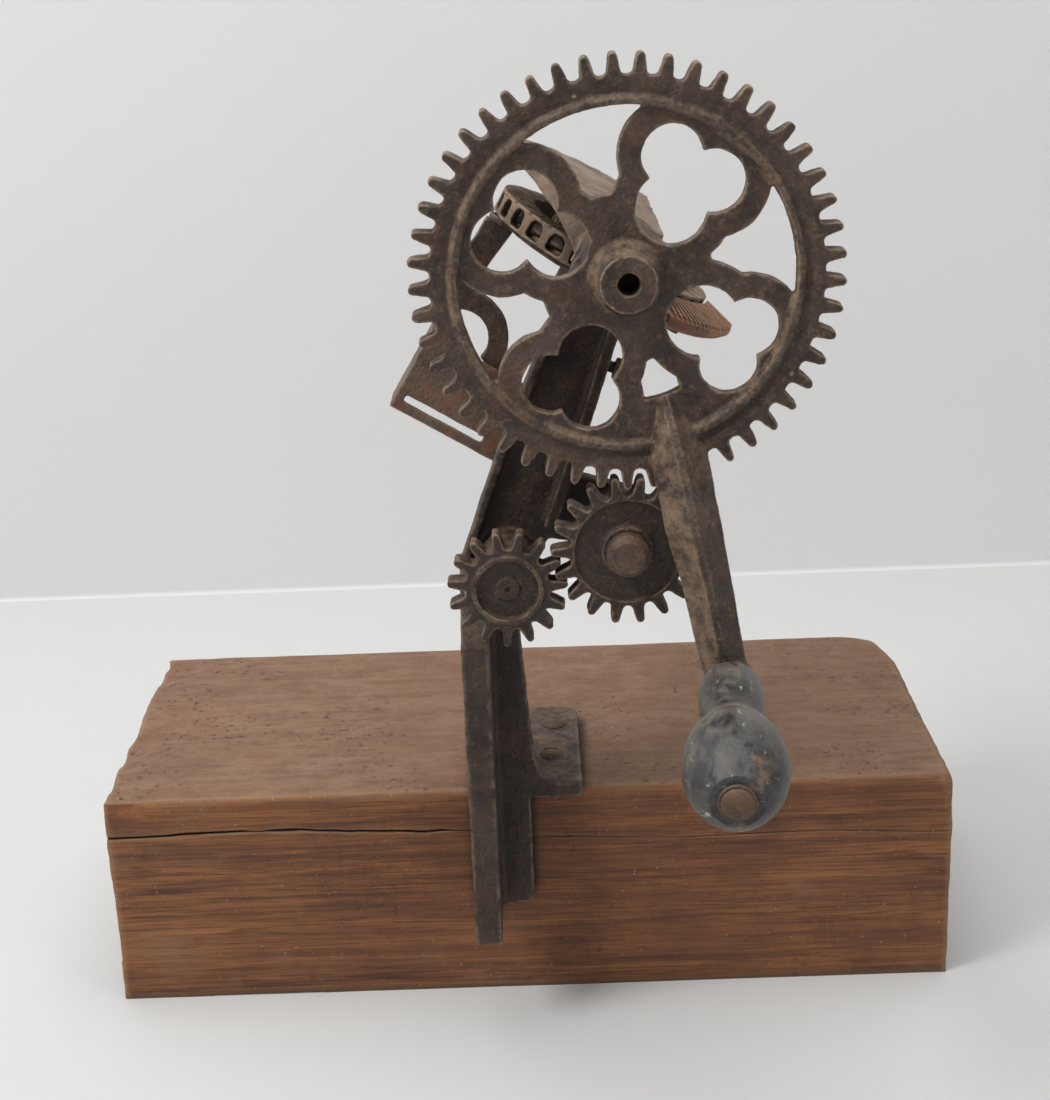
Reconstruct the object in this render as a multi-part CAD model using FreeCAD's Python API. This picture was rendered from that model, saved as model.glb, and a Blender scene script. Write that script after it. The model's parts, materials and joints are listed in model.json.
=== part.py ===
"""Hand-cranked bench knitting machine on a timber block.

A cast crank gear turns an idler and a small pinion in the same plane, and through its arbor
a small pinion that meshes with the crown wheel of a tilted needle ring.

Frame: millimetres, +Z up, -Y is the crank side, origin at the centre of the block's base.
"""
import FreeCAD, Part
import math
import os

V = FreeCAD.Vector

# ---------------------------------------------------------------- driving dimensions
# timber block
BLOCK_L = 400.0
BLOCK_D = 172.0
BLOCK_H = 107.0
BLOCK_EDGE = 4.0            # worn edge radius
BLOCK_CORNER = 14.0         # worn back corner radius
FRONT = -BLOCK_D / 2

# gear train, all in one plane
TOOTH_BACK = -129.4
TOOTH_FRONT = -138.0
BIG_TEETH = 49
IDLER_TEETH = 18
SMALL_TEETH = 15
BIG_X, BIG_Z = 48.4, 353.6
IDLER_X, IDLER_Z = 46.63, 240.6
SMALL_X, SMALL_Z = -3.63, 225.5
BIG_TIP_R, BIG_ROOT_R = 86.2, 77.6
IDLER_TIP_R, IDLER_ROOT_R = 32.0, 23.9
SMALL_TIP_R, SMALL_ROOT_R = 25.3, 17.8

# crank
BIG_HUB_FRONT = -150.0
RIM_DISH_R = 68.0
RIM_BEAD_R = 2.4
# the four club-shaped openings, three lobes each: degrees clockwise from straight up, reach, radius
CLUBS = [
    [(21.4, 50.3, 11.9), (43.4, 50.1, 12.2), (33.6, 32.1, 14.1)],
    [(114.1, 52.7, 11.9), (131.9, 53.6, 11.6), (121.7, 34.9, 14.4)],
    [(197.8, 51.1, 11.9), (216.9, 51.8, 11.8), (206.1, 34.5, 12.8)],
    [(288.4, 51.0, 12.1), (308.8, 49.8, 12.3), (297.4, 30.8, 12.8)],
]
HORN_INNER, HORN_OUTER = 34.0, 66.6
HORN_HALF = math.radians(24)
SMALL_HORN_OUTER = 49.5
SMALL_HORN_HALF = math.radians(12.5)
SPOKE_W = 9.8
ARBOR_R = 7.0
ARBOR_FRONT = -133.0
ARBOR_TAIL_R = 5.0
ARBOR_SEAT_R = 4.5
GRIP_FAR = V(86.0, -163.5, 190.0)
GRIP_NEAR = V(77.3, -266.0, 190.0)
SPINDLE_R = 4.0

# frame casting
WEB_FRONT, WEB_BACK = -93.0, -86.0
RIB_FRONT = -127.0
RIB_W = 12.0
FOOT_T = 5.5
BEARING_R = 17.0
BEARING_FRONT, BEARING_BACK = -120.0, -80.5
BUSH_R = 9.5
STUD_R = 7.0
SHAFT_R = 5.0

# tilted head: local X points down to the right, local Y away from the crank, local Z is its axis
TILT = 30.0
HEAD_H = 10.0               # height of the crank axis above the ring's middle plane
RING_Y = -20.0
RING_R = 52.0
RING_TOP, RING_FLOOR = 4.3, -6.8
BED_R = 44.0
BED_TOP, BED_FLOOR = -7.1, -10.0
POCKETS = 26
POCKET_STEP = 360.0 / POCKETS
CROWN_TEETH, DRIVE_TEETH = 36, 12
CROWN_IN, CROWN_OUT = 22.0, 26.5
RING_STUD_R = 6.0
HOOD_R = 58.0
HOOD_TOP = 24.8
COMB_START, COMB_SWEEP = -62.0, 58.0
COMB_RIBS = 21
COMB_R = 69.0
COMB_SEAT_R = 61.0
HOOD_SCREW_OFFSET = 13.2
RUN = 0.05                  # radial clearance of a running fit

# slotted tray and the arm that holds it
TRAY_CORNER = (-56.4, -35.0, 279.0)
TRAY_TILT = 31.5
TRAY_H = 39.0
TRAY_THICK = 3.0
TRAY_LUG = 60.0
ARM_FOOT = (-9.0, 291.0)
ARM_BEND = (-22.5, 309.0)
ARM_SCREW = (-46.5, -9.0)

# fasteners
FOOT_SCREWS = [(12.0, -62.0), (14.0, -28.0), (-13.0, -28.0)]
SCREW_R = 2.5
BRACKET_BOLTS = [(22.0, 306.0), (36.0, 334.0)]
TRAY_BOLTS = [(9.6, 252.6), (18.0, 266.3)]

tilt = math.radians(TILT)
HEAD = V(BIG_X - HEAD_H * math.sin(tilt), RING_Y, BIG_Z - HEAD_H * math.cos(tilt))


# ---------------------------------------------------------------- small helpers
def cyl(x, z, r, y0, y1):
    """Round bar along Y from y0 to y1."""
    return Part.makeCylinder(r, y1 - y0, V(x, y0, z), V(0, 1, 0))


def cone(x, z, r0, r1, y0, y1):
    return Part.makeCone(r0, r1, y1 - y0, V(x, y0, z), V(0, 1, 0))


def box(x0, x1, y0, y1, z0, z1):
    return Part.makeBox(x1 - x0, y1 - y0, z1 - z0, V(x0, y0, z0))


def plate(points, y0, y1):
    """Flat plate: an outline of (x, z) points, thick from y0 to y1."""
    loop = [V(x, y0, z) for x, z in points]
    face = Part.Face(Part.makePolygon(loop + loop[:1]))
    return face.extrude(V(0, y1 - y0, 0))


def fuse(shapes):
    return shapes[0].fuse(shapes[1:]).removeSplitter()


def polar(x, z, r, a, y):
    return V(x + r * math.cos(a), y, z + r * math.sin(a))


def gear_blank(x, z, teeth, root_r, tip_r, root_w, tip_w, phase, y0, y1):
    """Cast spur gear with tapered, round-tipped teeth and round root gaps."""
    edges = []
    step = 2 * math.pi / teeth
    foot_r = root_r + 0.8
    neck_r = tip_r - 0.45 * tip_w
    foot_a = root_w / 2 / foot_r
    neck_a = tip_w / 2 / neck_r
    for k in range(teeth):
        a = phase + k * step
        foot = polar(x, z, foot_r, a - foot_a, y0)
        neck = polar(x, z, neck_r, a - neck_a, y0)
        tip = polar(x, z, tip_r, a, y0)
        far_neck = polar(x, z, neck_r, a + neck_a, y0)
        far_foot = polar(x, z, foot_r, a + foot_a, y0)
        gap = polar(x, z, root_r, a + step / 2, y0)
        next_foot = polar(x, z, foot_r, a + step - foot_a, y0)
        edges.append(Part.LineSegment(foot, neck).toShape())
        edges.append(Part.Arc(neck, tip, far_neck).toShape())
        edges.append(Part.LineSegment(far_neck, far_foot).toShape())
        edges.append(Part.Arc(far_foot, gap, next_foot).toShape())
    face = Part.Face(Part.Wire(edges))
    return face.extrude(V(0, y1 - y0, 0))


def tilted(shape):
    """Puts a shape made in the head's own frame in its place."""
    placed = shape.copy()
    placed.Placement = FreeCAD.Placement(HEAD, FreeCAD.Rotation(V(0, 1, 0), TILT))
    return placed


def disc(r, z0, z1, x=0, y=0):
    return Part.makeCylinder(r, z1 - z0, V(x, y, z0))


def around(shape, count, start=0.0, step=None):
    """Copies of a shape turned about the head's axis."""
    step = 360.0 / count if step is None else step
    copies = []
    for k in range(count):
        turned = shape.copy()
        turned.rotate(V(0, 0, 0), V(0, 0, 1), start + k * step)
        copies.append(turned)
    return copies


def hex_prism(centre, axis, across, length):
    """Hexagon bar standing on its centre point along an axis."""
    r = across / math.sqrt(3)
    loop = [V(r * math.cos(k * math.pi / 3), r * math.sin(k * math.pi / 3), 0) for k in range(6)]
    bar = Part.Face(Part.makePolygon(loop + loop[:1])).extrude(V(0, 0, length))
    bar.Placement = FreeCAD.Placement(centre, FreeCAD.Rotation(V(0, 0, 1), axis))
    return bar


def export(shape, name):
    shape.exportStep("parts/%s.step" % name)


# ---------------------------------------------------------------- mesh at rest
BIG_PHASE = math.radians(85.44)


def mesh_phase(x0, z0, teeth0, phase0, x1, z1, teeth1):
    """Phase of a second gear whose gap faces a tooth of the first on the line of centres."""
    line = math.atan2(z1 - z0, x1 - x0)
    offset = (line - phase0) * teeth0
    return line + math.pi + offset / teeth1 + math.pi / teeth1


IDLER_PHASE = mesh_phase(BIG_X, BIG_Z, BIG_TEETH, BIG_PHASE, IDLER_X, IDLER_Z, IDLER_TEETH)
SMALL_PHASE = mesh_phase(IDLER_X, IDLER_Z, IDLER_TEETH, IDLER_PHASE, SMALL_X, SMALL_Z, SMALL_TEETH)
SMALL_PHASE += math.radians(1.8)     # rests towards one flank of the idler's teeth


# ---------------------------------------------------------------- timber block
def timber_block():
    block = box(-BLOCK_L / 2, BLOCK_L / 2, FRONT, -FRONT, 0, BLOCK_H)
    uprights = [e for e in block.Edges if abs(e.tangentAt(0).z) > 0.9]
    corner = [e for e in uprights if e.CenterOfMass.x > 0 and e.CenterOfMass.y > 0]
    block = block.makeFillet(BLOCK_CORNER, corner)
    top = [e for e in block.Edges if e.CenterOfMass.z > BLOCK_H - 0.1]
    block = block.makeFillet(BLOCK_EDGE, top)
    for x, y in FOOT_SCREWS:
        block = block.cut(Part.makeCylinder(SCREW_R, 30, V(x, y, BLOCK_H - 30)))
    return block


# ---------------------------------------------------------------- frame casting
def main_frame():
    top = BLOCK_H + FOOT_T
    web = plate([(-25, 49), (2, 51), (2, 105.5), (26, 105.5), (26, top), (14, top), (7.5, 117), (4.5, 126),
                 (3.2, 140), (0, 190), (8, 219), (17, 238), (33.5, 284), (46.6, 323), (62, 345), (40, 366),
                 (28, 352), (-6.5, 273), (-25, 222)], WEB_FRONT, WEB_BACK)
    lower = [e for e in web.Edges if abs(e.tangentAt(0).y) > 0.9 and e.CenterOfMass.z < 52
             and e.CenterOfMass.x > 0]
    web = web.makeFillet(5.0, lower)
    lip = [e for e in web.Edges if abs(e.tangentAt(0).y) > 0.9 and e.CenterOfMass.x > 25]
    web = web.makeFillet(3.0, lip)
    rib_side = [V(-25, WEB_BACK, 49), V(-25, RIB_FRONT, 49), V(-25, RIB_FRONT, 196),
                V(-25, WEB_FRONT - 4, 224), V(-25, WEB_BACK, 224)]
    rib = Part.Face(Part.makePolygon(rib_side + rib_side[:1])).extrude(V(RIB_W, 0, 0))
    foot = box(-25, 26, WEB_FRONT, -7, BLOCK_H, BLOCK_H + FOOT_T)
    back_corners = [e for e in foot.Edges if abs(e.tangentAt(0).z) > 0.9 and e.CenterOfMass.y > -20]
    foot = foot.makeFillet(10.0, back_corners)
    gusset_side = [V(-24, WEB_BACK - 1, 175), V(-24, WEB_BACK - 1, 110), V(-24, -40, 110)]
    gusset = Part.Face(Part.makePolygon(gusset_side + gusset_side[:1])).extrude(V(8, 0, 0))
    left_bead = plate([(-25, 222), (-6.5, 273), (28, 352), (31.5, 350.5), (-3, 271.5), (-21.8, 221)],
                      WEB_FRONT - 5, WEB_FRONT)
    right_bead = plate([(17, 238), (33.5, 284), (46.6, 323), (50, 333), (45, 335), (41.9, 325),
                        (28.8, 285.5), (12.4, 240)], WEB_FRONT - 8, WEB_FRONT)
    idler_lug = plate([(14, 232), (24, 262), (46.6, 255), (46.6, 226)], WEB_FRONT, WEB_BACK)
    idler_boss = cyl(IDLER_X, IDLER_Z, 14.0, WEB_FRONT - 8, WEB_BACK)
    pinion_boss = cyl(SMALL_X, SMALL_Z, 12.0, TOOTH_BACK + 4.4, WEB_BACK)
    bearing = cyl(BIG_X, BIG_Z, BEARING_R, BEARING_FRONT, BEARING_BACK)
    frame = fuse([web, rib, foot, gusset, left_bead, right_bead, idler_lug, idler_boss, pinion_boss,
                  bearing])
    frame = frame.cut(cyl(BIG_X, BIG_Z, BUSH_R, BEARING_FRONT - 1, BEARING_BACK + 1))
    frame = frame.cut(cyl(SMALL_X, SMALL_Z, SHAFT_R + 2, TOOTH_BACK, WEB_BACK + 1))
    frame = frame.cut(cyl(IDLER_X, IDLER_Z, 5.0, WEB_FRONT - 9, WEB_BACK + 1))
    for x, y in FOOT_SCREWS:
        frame = frame.cut(Part.makeCylinder(SCREW_R + 0.2, 20, V(x, y, BLOCK_H - 5)))
    for x, z in BRACKET_BOLTS:
        frame = frame.cut(cyl(x, z, 2.5, WEB_FRONT + 1, WEB_BACK + 1))
    for x, z in TRAY_BOLTS:
        frame = frame.cut(cyl(x, z, 2.5, WEB_FRONT + 1, WEB_BACK + 1))
    for x, z in hood_screw_centres():
        frame = frame.cut(cyl(x, z, 1.5, BEARING_BACK - 9, BEARING_BACK + 1))
    return frame.cut(side_bolt())


def foot_screws():
    """Countersunk wood screws with slotted round heads."""
    screws = []
    top = BLOCK_H + FOOT_T
    for x, y in FOOT_SCREWS:
        shank = Part.makeCylinder(SCREW_R, 28 + FOOT_T, V(x, y, BLOCK_H - 28))
        head = Part.makeSphere(7.0, V(x, y, top - 3.8)).common(box(x - 9, x + 9, y - 9, y + 9, top, top + 5))
        slot = box(x - 9, x + 9, y - 0.6, y + 0.6, top + 1.8, top + 5)
        screws.append(fuse([shank, head]).cut(slot))
    return Part.makeCompound(screws)


# ---------------------------------------------------------------- crank
def lobes(quarter, extra, y0, y1):
    """The three round lobes of a club-shaped opening, each grown by the same amount."""
    shapes = []
    for turn, reach, r in CLUBS[quarter % 4]:
        c = polar(BIG_X, BIG_Z, reach, math.pi / 2 - math.radians(turn), y0)
        shapes.append(cyl(c.x, c.z, r + extra, y0, y1))
    return shapes


def club_opening(quarter, y0, y1):
    """Three lobes joined by a smaller round in their middle."""
    points = [polar(BIG_X, BIG_Z, reach, math.pi / 2 - math.radians(turn), y0)
              for turn, reach, _ in CLUBS[quarter]]
    middle = (points[0] + points[1] + points[2]) * (1 / 3)
    return fuse(lobes(quarter, 0, y0, y1) + [cyl(middle.x, middle.z, 10.0, y0, y1)])


def club_turn(quarter):
    """Direction of a club-shaped opening's inner lobe, in degrees clockwise from straight up."""
    return CLUBS[quarter % 4][2][0] + (360 if quarter > 3 else 0)


def horn_opening(quarter, outer, half_angle, y0, y1):
    """Curved triangle between two club-shaped openings, with the spokes that follow their lobes."""
    a = math.pi / 2 - math.radians((club_turn(quarter) + club_turn(quarter + 1)) / 2)
    ring = cyl(BIG_X, BIG_Z, outer, y0, y1).cut(cyl(BIG_X, BIG_Z, HORN_INNER, y0, y1))
    reach = outer * 1.3
    left = (BIG_X + reach * math.cos(a - half_angle), BIG_Z + reach * math.sin(a - half_angle))
    right = (BIG_X + reach * math.cos(a + half_angle), BIG_Z + reach * math.sin(a + half_angle))
    wedge = plate([(BIG_X, BIG_Z), left, right], y0, y1)
    opening = ring.common(wedge)
    for side in (quarter, quarter + 1):
        for lobe in lobes(side, SPOKE_W, y0, y1):
            opening = opening.cut(lobe)
    return max(opening.Solids, key=lambda s: s.Volume)


ARM_SECTIONS = [
    # distance down the arm: centre x, z, half width, back y, edge y, ridge y
    (61.8, 309.0, 1.2, -131.0, -136.6, -138.4),
    (64.2, 297.0, 5.2, -131.0, -136.8, -143.6),
    (67.8, 282.0, 11.4, -137.0, -140.0, -150.6),
    (72.6, 254.5, 11.4, -148.2, -150.8, -161.0),
    (77.6, 232.0, 10.2, -149.6, -152.6, -162.0),
    (82.0, 208.0, 9.5, -151.0, -154.5, -163.0),
]


def arm_section(x, z, half, back, edge, ridge):
    """House-shaped section across the arm: flat back, two short sides and a ridge."""
    across = V(0.985, 0, 0.172)
    loop = [V(x, back, z) - across * half, V(x, edge, z) - across * half, V(x, ridge, z) - across * 1.5,
            V(x, ridge, z) + across * 1.5, V(x, edge, z) + across * half, V(x, back, z) + across * half]
    return Part.makePolygon(loop + loop[:1])


def crank_gear():
    y0, y1 = TOOTH_FRONT, TOOTH_BACK
    blank = gear_blank(BIG_X, BIG_Z, BIG_TEETH, BIG_ROOT_R, BIG_TIP_R, 5.6, 3.7, BIG_PHASE, y0, y1)
    dish = cyl(BIG_X, BIG_Z, RIM_DISH_R, y0 - 1, y0 + 1.6)
    blank = blank.cut(dish)
    blank = blank.cut(cyl(BIG_X, BIG_Z, RIM_DISH_R, y1 - 1.2, y1 + 1))
    blank = blank.cut(cone(BIG_X, BIG_Z, 79.0, 69.0, y0 - 0.6, y0 + 1.4))
    bead = Part.makeTorus(RIM_DISH_R, RIM_BEAD_R, V(BIG_X, y0 + 1.0, BIG_Z), V(0, 1, 0))
    flare = cone(BIG_X, BIG_Z, 12.0, 15.5, BIG_HUB_FRONT + 4, y0 + 2)
    hub_front = cyl(BIG_X, BIG_Z, 11.4, BIG_HUB_FRONT, y0 + 2)
    hub_back = cyl(BIG_X, BIG_Z, 15.0, y1 - 2, BEARING_FRONT - 0.6)
    parts = [blank, bead, flare, hub_front, hub_back]
    for near, far in zip(ARM_SECTIONS, ARM_SECTIONS[1:]):
        wires = [arm_section(*near), arm_section(*far)]
        parts.append(Part.makeLoft(wires, True, True))
    eye_axis = (GRIP_FAR - GRIP_NEAR).normalize()
    eye = Part.makeCylinder(9.4, 12.0, GRIP_FAR + eye_axis * 0.4, eye_axis)
    tail_wires = [arm_section(*ARM_SECTIONS[-1]), arm_section(85.4, 191.0, 9.2, -152.5, -156.0, -162.0)]
    parts.append(Part.makeLoft(tail_wires, True, True))
    parts.append(eye)
    gear = fuse(parts)
    for quarter in range(4):
        gear = gear.cut(club_opening(quarter, y0 - 1, y1 + 1))
    for quarter in (0, 2, 3):
        gear = gear.cut(horn_opening(quarter, HORN_OUTER, HORN_HALF, y0 - 1, y1 + 1))
    gear = gear.cut(horn_opening(1, SMALL_HORN_OUTER, SMALL_HORN_HALF, y0 - 1, y1 + 1))
    gear = gear.cut(cyl(BIG_X, BIG_Z, 4.3, BIG_HUB_FRONT - 1, ARBOR_FRONT + 1))
    gear = gear.cut(cyl(BIG_X, BIG_Z, ARBOR_R, ARBOR_FRONT, BEARING_FRONT + 1))
    spindle_hole = Part.makeCylinder(SPINDLE_R, 40.0, GRIP_FAR - eye_axis * 14, eye_axis)
    gear = gear.cut(spindle_hole)
    return gear


def crank_arbor():
    """Stepped shaft of the crank gear; it ends in the seat of the drive pinion."""
    return fuse([cyl(BIG_X, BIG_Z, ARBOR_R, ARBOR_FRONT, -76.4),
                 cyl(BIG_X, BIG_Z, ARBOR_TAIL_R, -76.4, RING_Y - 30.0),
                 cyl(BIG_X, BIG_Z, ARBOR_SEAT_R, RING_Y - 30.0, RING_Y - 18.5)])


def crank_bush():
    return cyl(BIG_X, BIG_Z, BUSH_R, BEARING_FRONT, BEARING_BACK).cut(
        cyl(BIG_X, BIG_Z, ARBOR_R + RUN, BEARING_FRONT - 1, BEARING_BACK + 1))


def arbor_collar():
    """Thrust collar behind the bearing, with its set screw hole."""
    collar = cyl(BIG_X, BIG_Z, 8.9, -76.2, -72.6).cut(cyl(BIG_X, BIG_Z, ARBOR_TAIL_R, -77, -72))
    return collar.cut(Part.makeCylinder(1.0, 12, V(BIG_X, -74.4, BIG_Z), V(-0.5, 0, 0.87)))


def handle_grip():
    """Turned wooden handle: a ringed neck, a waist and a pear-shaped ball, as (length, radius) points."""
    length = (GRIP_NEAR - GRIP_FAR).Length
    outline = [(0, 10.8), (3, 12.2), (9, 13.0), (18, 13.1), (26, 12.4), (34, 11.1), (41, 11.6),
               (49, 14.6), (59, 18.0), (69, 19.8), (78, 20.0), (87, 18.4), (95, 14.6),
               (length - 3.0, 10.2)]
    curve = Part.BSplineCurve()
    curve.interpolate([V(r, 0, t) for t, r in outline])
    bore = SPINDLE_R + RUN
    end = length - 3.0
    edges = [curve.toShape(),
             Part.makeLine(V(10.2, 0, end), V(bore, 0, end)),
             Part.makeLine(V(bore, 0, end), V(bore, 0, 0)),
             Part.makeLine(V(bore, 0, 0), V(10.8, 0, 0))]
    body = Part.Face(Part.Wire(edges)).revolve(V(0, 0, 0), V(0, 0, 1), 360)
    axis = GRIP_NEAR - GRIP_FAR
    body.Placement = FreeCAD.Placement(GRIP_FAR, FreeCAD.Rotation(V(0, 0, 1), axis))
    return body


def handle_spindle():
    """Steel pin through the arm's eye and the grip, riveted over a washer at the near end."""
    axis = (GRIP_NEAR - GRIP_FAR).normalize()
    length = (GRIP_NEAR - GRIP_FAR).Length
    pin = Part.makeCylinder(SPINDLE_R, length + 12.6, GRIP_FAR - axis * 13.4, axis)
    dome = Part.makeSphere(9.6, GRIP_NEAR - axis * 8.2)
    keep = Part.makeCylinder(6.0, 4.0, GRIP_NEAR - axis * 1.4, axis)
    tail = Part.makeCylinder(5.4, 1.6, GRIP_FAR - axis * 14.0, axis)
    return fuse([pin, dome.common(keep), tail])


def handle_washer():
    axis = (GRIP_NEAR - GRIP_FAR).normalize()
    start = GRIP_NEAR - axis * 2.7
    ring = Part.makeCylinder(7.1, 1.3, start, axis)
    return ring.cut(Part.makeCylinder(SPINDLE_R, 3, start - axis, axis))


# ---------------------------------------------------------------- idler
def idler_gear():
    gear = gear_blank(IDLER_X, IDLER_Z, IDLER_TEETH, IDLER_ROOT_R, IDLER_TIP_R, 5.2, 3.6, IDLER_PHASE,
                      TOOTH_FRONT, TOOTH_BACK)
    gear = gear.cut(cyl(IDLER_X, IDLER_Z, 21.8, TOOTH_FRONT - 1, TOOTH_FRONT + 1.6))
    hub = fuse([cyl(IDLER_X, IDLER_Z, 11.5, TOOTH_BACK - 2, WEB_FRONT - 8.6),
                cone(IDLER_X, IDLER_Z, 10.4, 11.6, TOOTH_FRONT + 0.4, TOOTH_FRONT + 2)])
    gear = fuse([gear, hub])
    return gear.cut(cyl(IDLER_X, IDLER_Z, STUD_R + RUN, TOOTH_FRONT - 2, WEB_FRONT))


def idler_stud():
    """Shouldered stud with a chamfered head, threaded through the frame's lug."""
    head = fuse([cyl(IDLER_X, IDLER_Z, 9.0, -143.4, -138.6),
                 cone(IDLER_X, IDLER_Z, 6.6, 9.0, -145.8, -143.4)])
    bar = cyl(IDLER_X, IDLER_Z, STUD_R, -139, WEB_FRONT - 8)
    thread = cyl(IDLER_X, IDLER_Z, 5.0, WEB_FRONT - 9, WEB_BACK + 8)
    return fuse([head, bar, thread])


def idler_nut():
    nut = hex_prism(V(IDLER_X, WEB_BACK, IDLER_Z), V(0, 1, 0), 17.0, 6.5)
    return nut.cut(cyl(IDLER_X, IDLER_Z, 5.0, WEB_BACK - 1, WEB_BACK + 9))


# ---------------------------------------------------------------- pinion and winder
def pinion_gear():
    gear = gear_blank(SMALL_X, SMALL_Z, SMALL_TEETH, SMALL_ROOT_R, SMALL_TIP_R, 4.8, 3.4, SMALL_PHASE,
                      TOOTH_FRONT, TOOTH_BACK)
    gear = gear.cut(cyl(SMALL_X, SMALL_Z, 13.2, TOOTH_FRONT - 1, TOOTH_FRONT + 2.0))
    rim = cyl(SMALL_X, SMALL_Z, 15.0, TOOTH_FRONT - 0.8, TOOTH_FRONT + 1)
    rim = rim.cut(cyl(SMALL_X, SMALL_Z, 13.0, TOOTH_FRONT - 1, TOOTH_FRONT + 2))
    gear = fuse([gear, rim])
    return gear.cut(cyl(SMALL_X, SMALL_Z, SHAFT_R, TOOTH_FRONT - 2, TOOTH_BACK + 1))


def pinion_shaft():
    head = cone(SMALL_X, SMALL_Z, 4.6, 5.6, TOOTH_FRONT + 0.9, TOOTH_FRONT + 2.0)
    head = head.cut(cyl(SMALL_X, SMALL_Z, 1.3, TOOTH_FRONT, TOOTH_FRONT + 1.9))
    return fuse([head, cyl(SMALL_X, SMALL_Z, SHAFT_R, TOOTH_FRONT + 1.9, -30.0)]).cut(spool_pin())


def pinion_bush():
    bush = cyl(SMALL_X, SMALL_Z, SHAFT_R + 2, TOOTH_BACK + 4.4, WEB_BACK)
    return bush.cut(cyl(SMALL_X, SMALL_Z, SHAFT_R + RUN, TOOTH_BACK, WEB_BACK + 1))


def winder_spool():
    """Take-up spool on the pinion's shaft: two flanges on a core."""
    spool = fuse([cyl(SMALL_X, SMALL_Z, 12.5, -84.0, -81.5), cyl(SMALL_X, SMALL_Z, 7.2, -82.0, -43.0),
                  cyl(SMALL_X, SMALL_Z, 12.5, -44.0, -41.5)])
    return spool.cut(cyl(SMALL_X, SMALL_Z, SHAFT_R, -85, -41))


def spool_pin():
    return Part.makeCylinder(1.5, 15.5, V(SMALL_X, -35.5, SMALL_Z - 7.75))


# ---------------------------------------------------------------- tilted head
def pocket_cutter():
    """One window of the ring's wall, with its corners cut off."""
    low, high = RING_FLOOR + 1.3, RING_TOP - 1.8
    x = RING_R + 1
    loop = [V(x, -3.3, low), V(x, 3.3, low), V(x, 4.2, low + 1.6), V(x, 3.6, high - 1.8), V(x, 2.0, high),
            V(x, -2.4, high), V(x, -3.9, high - 2.2), V(x, -4.2, low + 1.4)]
    return Part.Face(Part.makePolygon(loop + loop[:1])).extrude(V(-6, 0, 0))


def needle_ring():
    """Ring: windowed wall, inner rail, spoked floor and hub, and a top face with a slot per needle."""
    wall = disc(RING_R, RING_FLOOR, RING_TOP).cut(disc(RING_R - 3.6, RING_FLOOR - 1, RING_TOP + 1))
    rail = disc(40.0, RING_FLOOR, RING_TOP).cut(disc(36.5, RING_FLOOR - 1, RING_TOP + 1))
    floor = disc(RING_R - 1, RING_FLOOR, RING_FLOOR + 2.8)
    needle_bed = disc(RING_R - 1, RING_TOP - 2.4, RING_TOP).cut(disc(36.5, RING_TOP - 3, RING_TOP + 1))
    hub = disc(13.0, RING_FLOOR, 3.0)
    ring = fuse([wall, rail, floor, needle_bed, hub])
    window = disc(34.5, RING_FLOOR - 1, RING_FLOOR + 4).cut(disc(15.0, RING_FLOOR - 2, RING_FLOOR + 5))
    slot = box(35, RING_R + 1, -0.7, 0.7, RING_TOP - 1.7, RING_TOP + 1)
    spoke_gap = Part.makeBox(40, 12, 9, V(-40, -6, RING_FLOOR - 2))
    windows = window.cut(fuse([spoke_gap] + around(spoke_gap, 3)[1:]))
    ring = ring.cut(windows)
    ring = ring.cut(around(pocket_cutter(), POCKETS, POCKET_STEP / 2))
    ring = ring.cut(around(slot, POCKETS))
    ring = ring.cut(disc(RING_STUD_R + RUN, RING_FLOOR - 1, 5))
    return tilted(ring)


def needles():
    """Flat latch needles lying in the ring's slots, hooks outward."""
    blade = box(37.0, RING_R - 0.4, -0.5, 0.5, RING_TOP - 1.7, RING_TOP - 0.2)
    butt = box(44.0, 46.0, -0.5, 0.5, RING_TOP - 1.0, RING_TOP + 0.3)
    return tilted(Part.makeCompound(around(fuse([blade, butt]), POCKETS)))


def crown_gear():
    """Crown wheel in the ring's floor, driven by the pinion on the crank arbor."""
    body = disc(CROWN_OUT, RING_FLOOR + 2.8, 0.2).cut(disc(13.0, RING_FLOOR, 2))
    half_root, half_tip, top = 1.0, 0.45, 3.2
    loop = [V(CROWN_IN, -half_root, 0), V(CROWN_IN, half_root, 0), V(CROWN_IN, half_tip, top),
            V(CROWN_IN, -half_tip, top)]
    tooth = Part.Face(Part.makePolygon(loop + loop[:1])).extrude(V(CROWN_OUT - CROWN_IN, 0, 0))
    teeth = around(tooth, CROWN_TEETH, -90.0 + 180.0 / CROWN_TEETH)
    return tilted(fuse([body] + teeth))


def drive_pinion():
    """Twelve-tooth pinion with a pinned hub on the arbor's tail."""
    phase = -math.pi / 2 - tilt
    teeth = gear_blank(BIG_X, BIG_Z, DRIVE_TEETH, 6.3, 9.3, 2.0, 1.0, phase,
                       RING_Y - CROWN_OUT, RING_Y - CROWN_IN)
    hub = cyl(BIG_X, BIG_Z, 6.2, RING_Y - 30.0, RING_Y - CROWN_OUT + 0.5)
    pinion = fuse([teeth, hub])
    return pinion.cut(cyl(BIG_X, BIG_Z, ARBOR_SEAT_R, RING_Y - 31, RING_Y - 18))


def ring_stud():
    """Tilted stud that the needle ring turns on, screwed into the bracket."""
    return tilted(fuse([disc(RING_STUD_R, -9.5, 5.0), disc(4.5, 4.0, 11.5), disc(4.5, -34.0, -9.0)]))


def ring_nut():
    nut = hex_prism(V(0, 0, 5.0), V(0, 0, 1), 13.0, 4.6).cut(disc(4.5, 4, 12))
    return tilted(nut)


def ring_washer():
    return tilted(disc(9.5, 3.4, 5.0).cut(disc(RING_STUD_R, 3, 6)))


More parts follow.
